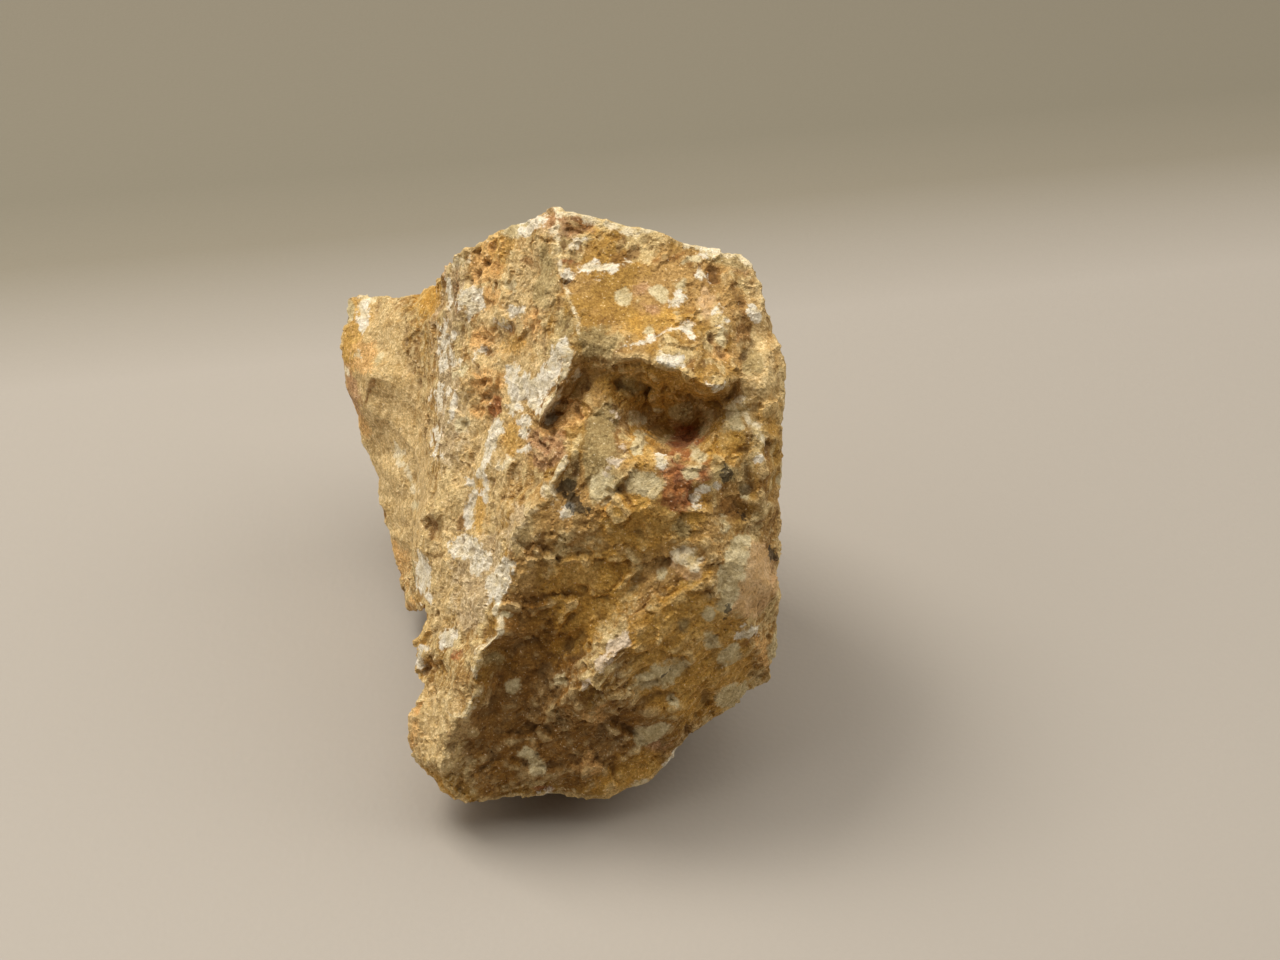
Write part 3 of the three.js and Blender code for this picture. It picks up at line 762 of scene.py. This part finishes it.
for vert, place in zip(shape.verts, moved):
    vert.co = place
stone_mesh = bpy.data.meshes.new("stone_skin")
shape.to_mesh(stone_mesh)
shape.free()
stone_mesh.shade_flat()
for kind, field in {**fields, **tones, "standing_out": standing_out}.items():
    attribute = stone_mesh.attributes.new(kind, "FLOAT", "POINT")
    attribute.data.foreach_set("value", field.astype(np.float32))
stone = bpy.data.objects.new("stone_skin", stone_mesh)
bpy.context.scene.collection.objects.link(stone)

# ---------------------------------------------------------------- materials


def linear(hex_colour):
    """An sRGB hex colour as linear red, green, blue and alpha."""
    channels = [int(hex_colour[i : i + 2], 16) / 255 for i in (0, 2, 4)]
    turned = [c / 12.92 if c <= 0.04045 else ((c + 0.055) / 1.055) ** 2.4 for c in channels]
    return (*turned, 1.0)


def every_mm(width):
    """The texture scale that makes one feature per so many millimetres."""
    return 1 / (width * MM)


# A mix node's sockets, when it mixes colours.
MIX_SHARE, MIX_FIRST, MIX_SECOND, MIX_RESULT = 0, 6, 7, 2


def add_node(tree, kind, settings=None, inputs=None):
    """Adds a node with its settings, and fills its inputs with values or other nodes' outputs."""
    node = tree.nodes.new(kind)
    for name, value in (settings or {}).items():
        setattr(node, name, value)
    for socket, value in (inputs or {}).items():
        if isinstance(value, bpy.types.NodeSocket):
            tree.links.new(value, node.inputs[socket])
        else:
            node.inputs[socket].default_value = value
    return node


# Each kind of marking, from the bottom layer up: its two tints, how soft its edge is, how far
# the edge wanders, both in millimetres, and how much of the rock under it stays hidden. Stains
# share the matrix's grain, and clasts lie over it, with a finer grain of their own.
STAINS = {
    # Partly paler rock, partly painted light on the faces turned to the lamps.
    "bleached_and_painted_light": {"tints": ("edd8ac", "dcc290"), "soft": 3.0, "wander": 3.0, "cover": 0.75},
    # Partly the rock's own brown, partly painted shade on the faces turned from the lamps.
    "brown_and_painted_shade": {"tints": ("95671e", "785113"), "soft": 3.0, "wander": 2.6, "cover": 0.75},
    "ochre": {"tints": ("ce9f46", "d6ad5a"), "soft": 1.3, "wander": 1.6, "cover": 0.75},
    "lilac_white": {"tints": ("dfcfb3", "bfab8c"), "soft": 0.9, "wander": 1.8, "cover": 0.7},
    "lilac": {"tints": ("c8a07c", "a8805f"), "soft": 0.8, "wander": 1.2, "cover": 0.8},
    "orange": {"tints": ("ecc182", "d6a96c"), "soft": 0.7, "wander": 1.3, "cover": 0.8},
    "brick": {"tints": ("b0703f", "8c4c2e"), "soft": 0.6, "wander": 1.3, "cover": 0.85},
    "grey_green": {"tints": ("b8a67a", "9c8b61"), "soft": 0.6, "wander": 0.8, "cover": 0.85},
    "umber": {"tints": ("96692c", "73501f"), "soft": 0.5, "wander": 0.5, "cover": 0.8},
}
CLASTS = {
    "peach": {"tints": ("e8c597", "d8af78"), "soft": 0.5, "wander": 0.7, "cover": 0.85},
    "cream": {"tints": ("f6e8c8", "e4cf9e"), "soft": 0.35, "wander": 0.8, "cover": 0.9},
    "pale": {"tints": ("e9dab0", "cbb88a"), "soft": 0.35, "wander": 0.6, "cover": 0.9},
    "bone": {"tints": ("f8f0df", "e3d5b5"), "soft": 0.3, "wander": 0.9, "cover": 0.95},
    "crystal": {"tints": ("f2e2cc", "dcc6ac"), "soft": 0.3, "wander": 0.9, "cover": 0.85},
    "black": {"tints": ("322a1c", "211b12"), "soft": 0.25, "wander": 1.5, "cover": 0.8},
}

# The matrix's clouds and streaks: where each starts and is full, its cover and its colour.
TONES = [
    ("golden", -0.1, 0.45, 0.9, "ad8840"),
    ("paler", 0.05, 0.45, 0.85, "dfcb9c"),
    ("browner", 0.2, 0.6, 0.75, "8c6630"),
    ("streaky", 0.15, 0.7, 0.6, "e0cea4"),
    ("streaky", -0.2, -0.75, 0.5, "8e6a36"),
]
MATRIX = "be9b62"

# The noises that the material is made with: their width in millimetres, detail and roughness.
NOISES = {"wander": (2.0, 3, 0.7), "grain": (0.45, 2, 0.8), "crumb": (1.3, 2, 0.7)}
FACET_WIDTH = 0.7
WANDER_MIDDLE = 0.5
WANDER_GAIN = 4
TONE_WANDER = 0.9
TINT_RANGE = (0.36, 0.64)

# Speckles: where each starts and is full, and what it multiplies the colour by at its darkest
# and its lightest. The grain and clast speckles follow the grain that also sets the bump: partly
# the grain's own colour, partly painted shade in its hollows and painted light on its tops. The
# facet speckle is painted light and shade of small broken facets.
SPECKLES = {
    "grain": (0.3, 0.7, (0.86, 0.82, 0.74, 1.0), (1.12, 1.12, 1.12, 1.0)),
    "crumb": (0.3, 0.7, (0.83, 0.77, 0.65, 1.0), (1.14, 1.14, 1.14, 1.0)),
    "facet": (0.0, 1.0, (0.9, 0.88, 0.83, 1.0), (1.1, 1.1, 1.1, 1.0)),
    "clast": (0.3, 0.7, (0.72, 0.67, 0.58, 1.0), (1.16, 1.16, 1.16, 1.0)),
}

# Touches of colour: where each starts and is full, its cover and its colour. The crest touch
# is partly paler worn rock and partly painted highlight, and the crevice touch partly brown
# staining and partly painted shade. The glint is a painted highlight on the tops of the grain,
# and the pore touch painted shade in its hollows.
TOUCHES = {
    "worn_and_highlit_crest": (0.03, 0.2, 0.5, "e6d2a4"),
    "painted_glint": (0.66, 0.72, 0.7, "f6ead0"),
    "stained_and_shaded_crevice": (-0.03, -0.22, 0.6, "6e4f29"),
    "painted_pore_shade": (0.33, 0.28, 0.7, "4a3519"),
}

# Relief finer than the mesh, in millimetres, and how much of it the sharp crests are.
CREST_WIDTH = 2.4
CREST_SHARE = 0.7
GRAIN_RELIEF = 0.22


def spotted_rhyolite():
    """Spotted, jasper-like rhyolite, broken by hand: a dull, sugary surface of fawn and golden
    matrix, with bone-white and grey-green spots, iron stains and a few pale crystals; glints on
    the grain, and shade in its hollows and crevices, are painted into the colour."""
    material = bpy.data.materials.new("broken_spotted_rhyolite")
    material.use_nodes = True
    tree = material.node_tree
    tree.nodes.clear()
    place = add_node(tree, "ShaderNodeTexCoord").outputs["Object"]

    noises = {
        name: add_node(
            tree,
            "ShaderNodeTexNoise",
            inputs={
                "Vector": place,
                "Scale": every_mm(width),
                "Detail": detail,
                "Roughness": roughness,
            },
        ).outputs["Fac"]
        for name, (width, detail, roughness) in NOISES.items()
    }
    grain = noises["grain"]
    wander = add_node(
        tree,
        "ShaderNodeMath",
        {"operation": "SUBTRACT"},
        {0: noises["wander"], 1: WANDER_MIDDLE},
    ).outputs[0]
    tint_share = add_node(
        tree,
        "ShaderNodeMapRange",
        {"interpolation_type": "SMOOTHSTEP"},
        {"Value": noises["wander"], "From Min": TINT_RANGE[0], "From Max": TINT_RANGE[1]},
    ).outputs["Result"]

    def with_markings(colour, layers):
        """The colour with layers of markings over it."""
        for kind, layer in layers.items():
            field = add_node(tree, "ShaderNodeAttribute", {"attribute_name": kind}).outputs["Fac"]
            edge = add_node(
                tree,
                "ShaderNodeMath",
                {"operation": "MULTIPLY_ADD"},
                {0: wander, 1: layer["wander"] * WANDER_GAIN, 2: field},
            ).outputs[0]
            cover = add_node(
                tree,
                "ShaderNodeMapRange",
                {"interpolation_type": "SMOOTHSTEP"},
                {
                    "Value": edge,
                    "From Min": layer["soft"],
                    "From Max": -layer["soft"],
                    "To Max": layer["cover"],
                },
            ).outputs["Result"]
            tint = add_node(
                tree,
                "ShaderNodeMix",
                {"data_type": "RGBA"},
                {
                    MIX_SHARE: tint_share,
                    MIX_FIRST: linear(layer["tints"][0]),
                    MIX_SECOND: linear(layer["tints"][1]),
                },
            ).outputs[MIX_RESULT]
            colour = add_node(
                tree,
                "ShaderNodeMix",
                {"data_type": "RGBA"},
                {MIX_SHARE: cover, MIX_FIRST: colour, MIX_SECOND: tint},
            ).outputs[MIX_RESULT]
        return colour

    def with_speckle(colour, value, low, high, dark, light):
        """The colour multiplied by a speckle between dark and light."""
        share = add_node(
            tree,
            "ShaderNodeMapRange",
            inputs={"Value": value, "From Min": low, "From Max": high},
        ).outputs["Result"]
        speckle = add_node(
            tree,
            "ShaderNodeMix",
            {"data_type": "RGBA"},
            {MIX_SHARE: share, MIX_FIRST: dark, MIX_SECOND: light},
        ).outputs[MIX_RESULT]
        return add_node(
            tree,
            "ShaderNodeMix",
            {"data_type": "RGBA", "blend_type": "MULTIPLY"},
            {MIX_SHARE: 1.0, MIX_FIRST: colour, MIX_SECOND: speckle},
        ).outputs[MIX_RESULT]

    def with_touch(colour, value, low, high, cover, hex_colour):
        """The colour covered where a value goes from low to high."""
        share = add_node(
            tree,
            "ShaderNodeMapRange",
            {"interpolation_type": "SMOOTHSTEP"},
            {"Value": value, "From Min": low, "From Max": high, "To Max": cover},
        ).outputs["Result"]
        return add_node(
            tree,
            "ShaderNodeMix",
            {"data_type": "RGBA"},
            {MIX_SHARE: share, MIX_FIRST: colour, MIX_SECOND: linear(hex_colour)},
        ).outputs[MIX_RESULT]

    # The matrix: fawn, with golden, paler and browner clouds and streaks.
    colour = linear(MATRIX)
    for tone, low, high, cover, hex_colour in TONES:
        cloud = add_node(tree, "ShaderNodeAttribute", {"attribute_name": tone}).outputs["Fac"]
        ragged = add_node(
            tree,
            "ShaderNodeMath",
            {"operation": "MULTIPLY_ADD"},
            {0: wander, 1: TONE_WANDER, 2: cloud},
        ).outputs[0]
        colour = with_touch(colour, ragged, low, high, cover, hex_colour)

    # Sugary grain, about half a millimetre, between painted shade in its hollows and painted glints
    # on its tops, and broken facets of about a millimetre, each with its own lightness, which is
    # painted light and shade.
    facets = add_node(
        tree, "ShaderNodeTexVoronoi", inputs={"Vector": place, "Scale": every_mm(FACET_WIDTH)}
    ).outputs
    facet = add_node(tree, "ShaderNodeSeparateColor", inputs={0: facets["Color"]}).outputs[0]
    standing = add_node(
        tree, "ShaderNodeAttribute", {"attribute_name": "standing_out"}
    ).outputs["Fac"]

    colour = with_markings(colour, STAINS)
    # Crests lighter: partly paler worn rock, partly painted highlight.
    colour = with_touch(colour, standing, *TOUCHES["worn_and_highlit_crest"])
    # The grain's speckle: partly its own colour, partly painted shade in the grain relief's hollows
    # and painted light on its tops.
    colour = with_speckle(colour, grain, *SPECKLES["grain"])
    colour = with_speckle(colour, noises["crumb"], *SPECKLES["crumb"])
    # Each broken facet a little lighter or darker: painted light and shade.
    colour = with_speckle(colour, facet, *SPECKLES["facet"])
    # Painted glints: pale colour on the highest grains of the bump relief.
    colour = with_touch(colour, grain, *TOUCHES["painted_glint"])
    colour = with_markings(colour, CLASTS)
    # The clasts' grain speckle: partly their own colour, partly painted shade and painted light on
    # the grain relief.
    colour = with_speckle(colour, grain, *SPECKLES["clast"])
    # Crevices darker: partly brown staining, partly painted shade.
    colour = with_touch(colour, standing, *TOUCHES["stained_and_shaded_crevice"])
    # Painted shade: dark brown in the lowest hollows of the grain relief.
    colour = with_touch(colour, grain, *TOUCHES["painted_pore_shade"])

    # Relief finer than the mesh: grains, and sharp crests where it broke.
    crests = add_node(
        tree,
        "ShaderNodeTexNoise",
        {"noise_dimensions": "3D", "noise_type": "RIDGED_MULTIFRACTAL"},
        {
            "Vector": place,
            "Scale": every_mm(CREST_WIDTH),
            "Detail": 2,
            "Roughness": 0.6,
            "Offset": 0.8,
            "Gain": 1.5,
        },
    ).outputs[0]
    relief = add_node(
        tree,
        "ShaderNodeMath",
        {"operation": "MULTIPLY_ADD"},
        {0: crests, 1: CREST_SHARE, 2: grain},
    ).outputs[0]
    bump = add_node(
        tree,
        "ShaderNodeBump",
        inputs={"Strength": 1.0, "Distance": GRAIN_RELIEF * MM, "Height": relief},
    ).outputs["Normal"]

    rock = add_node(
        tree,
        "ShaderNodeBsdfPrincipled",
        inputs={
            "Base Color": colour,
            "Roughness": 0.8,
            "IOR": 1.5,
            "Specular IOR Level": 0.35,
            "Normal": bump,
        },
    )
    add_node(tree, "ShaderNodeOutputMaterial", inputs={"Surface": rock.outputs[0]})
    return material


stone_mesh.materials.append(spotted_rhyolite())

# ---------------------------------------------------------------- stage

# The top's tones, by how far back they lie, in metres, and how that line slants across it.
# Past about a tenth of a metre it darkens: painted shade where a shaded backdrop would be seen.
TOP_SIZE = 3.0
TOP_TONES_WITH_PAINTED_SHADE = [
    (0.0, "b2aaa0"),
    (0.1, "b0a89e"),
    (0.126, "a1998d"),
    (0.15, "8e8676"),
    (0.18, "857e6e"),
    (0.4, "8a8273"),
]
TOP_SLANT = -0.173
PEBBLES = {"width": 1.1, "height": 0.12}


def vinyl_top():
    """Pale greige sheet vinyl with a fine pebbled grain, nearly matt; darker away from the light,
    towards the back, as painted shade in place of a shaded backdrop.
    """
    material = bpy.data.materials.new("pebbled_vinyl")
    material.use_nodes = True
    tree = material.node_tree
    tree.nodes.clear()
    place = add_node(tree, "ShaderNodeTexCoord").outputs["Object"]
    parts = add_node(tree, "ShaderNodeSeparateXYZ", inputs={0: place}).outputs
    back = add_node(
        tree,
        "ShaderNodeMath",
        {"operation": "MULTIPLY_ADD"},
        {0: parts["X"], 1: TOP_SLANT, 2: parts["Y"]},
    ).outputs["Value"]
    share = add_node(
        tree,
        "ShaderNodeMapRange",
        inputs={"Value": back, "From Min": 0.0, "From Max": TOP_TONES_WITH_PAINTED_SHADE[-1][0]},
    ).outputs["Result"]
    ramp = add_node(tree, "ShaderNodeValToRGB", inputs={"Fac": share})
    stops = ramp.color_ramp.elements
    while len(stops) < len(TOP_TONES_WITH_PAINTED_SHADE):
        stops.new(1.0)
    for stop, (reach, tone) in zip(stops, TOP_TONES_WITH_PAINTED_SHADE):
        stop.position = reach / TOP_TONES_WITH_PAINTED_SHADE[-1][0]
        stop.color = linear(tone)
    pebbles = add_node(
        tree,
        "ShaderNodeTexVoronoi",
        {"voronoi_dimensions": "2D", "feature": "SMOOTH_F1"},
        {"Vector": place, "Scale": every_mm(PEBBLES["width"]), "Detail": 0, "Randomness": 1.0},
    ).outputs["Distance"]
    bump = add_node(
        tree,
        "ShaderNodeBump",
        inputs={"Strength": 0.35, "Distance": PEBBLES["height"] * MM, "Height": pebbles},
    ).outputs["Normal"]
    vinyl = add_node(
        tree,
        "ShaderNodeBsdfPrincipled",
        inputs={
            "Base Color": ramp.outputs["Color"],
            "Roughness": 0.55,
            "IOR": 1.5,
            "Specular IOR Level": 0.3,
            "Normal": bump,
        },
    )
    add_node(tree, "ShaderNodeOutputMaterial", inputs={"Surface": vinyl.outputs[0]})
    return material


top_shape = bmesh.new()
bmesh.ops.create_grid(top_shape, x_segments=1, y_segments=1, size=TOP_SIZE / 2)
top_mesh = bpy.data.meshes.new("table_top")
top_shape.to_mesh(top_mesh)
top_shape.free()
top_mesh.materials.append(vinyl_top())
table_top = bpy.data.objects.new("table_top", top_mesh)
bpy.context.scene.collection.objects.link(table_top)

# ---------------------------------------------------------------- light

LIGHTS = {
    "key": {"towards": (-0.42, 0.25, 0.87), "away": 0.9, "size": 0.4, "watts": 5.4},
    "top": {"towards": (0.0, 0.1, 1.0), "away": 1.3, "size": 1.2, "watts": 7.8},
    "right": {"towards": (0.72, 0.12, 0.65), "away": 1.3, "size": 1.0, "watts": 7.3},
    "left": {"towards": (-0.78, -0.15, 0.58), "away": 1.3, "size": 1.0, "watts": 4.5},
}
LIT_HEIGHT = 0.04
LIGHT_TINT = (1.0, 0.96, 0.885)
for name, light in LIGHTS.items():
    lamp_data = bpy.data.lights.new(name, "AREA")
    lamp_data.energy = light["watts"]
    lamp_data.size = light["size"]
    lamp_data.color = LIGHT_TINT
    lamp = bpy.data.objects.new(name, lamp_data)
    towards = Vector(light["towards"]).normalized()
    lamp.location = towards * light["away"] + Vector((0, 0, LIT_HEIGHT))
    lamp.rotation_euler = towards.to_track_quat("Z", "Y").to_euler()
    bpy.context.scene.collection.objects.link(lamp)

ROOM_LIGHT = 0.055
ROOM_TINT = (1.0, 0.97, 0.93, 1.0)
world = bpy.data.worlds.new("soft_room")
world.use_nodes = True
bpy.context.scene.world = world
background = world.node_tree.nodes["Background"]
background.inputs["Color"].default_value = ROOM_TINT
background.inputs["Strength"].default_value = ROOM_LIGHT
bpy.context.scene.view_settings.view_transform = "Standard"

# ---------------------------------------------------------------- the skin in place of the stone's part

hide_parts("stone")
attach(stone, "root")
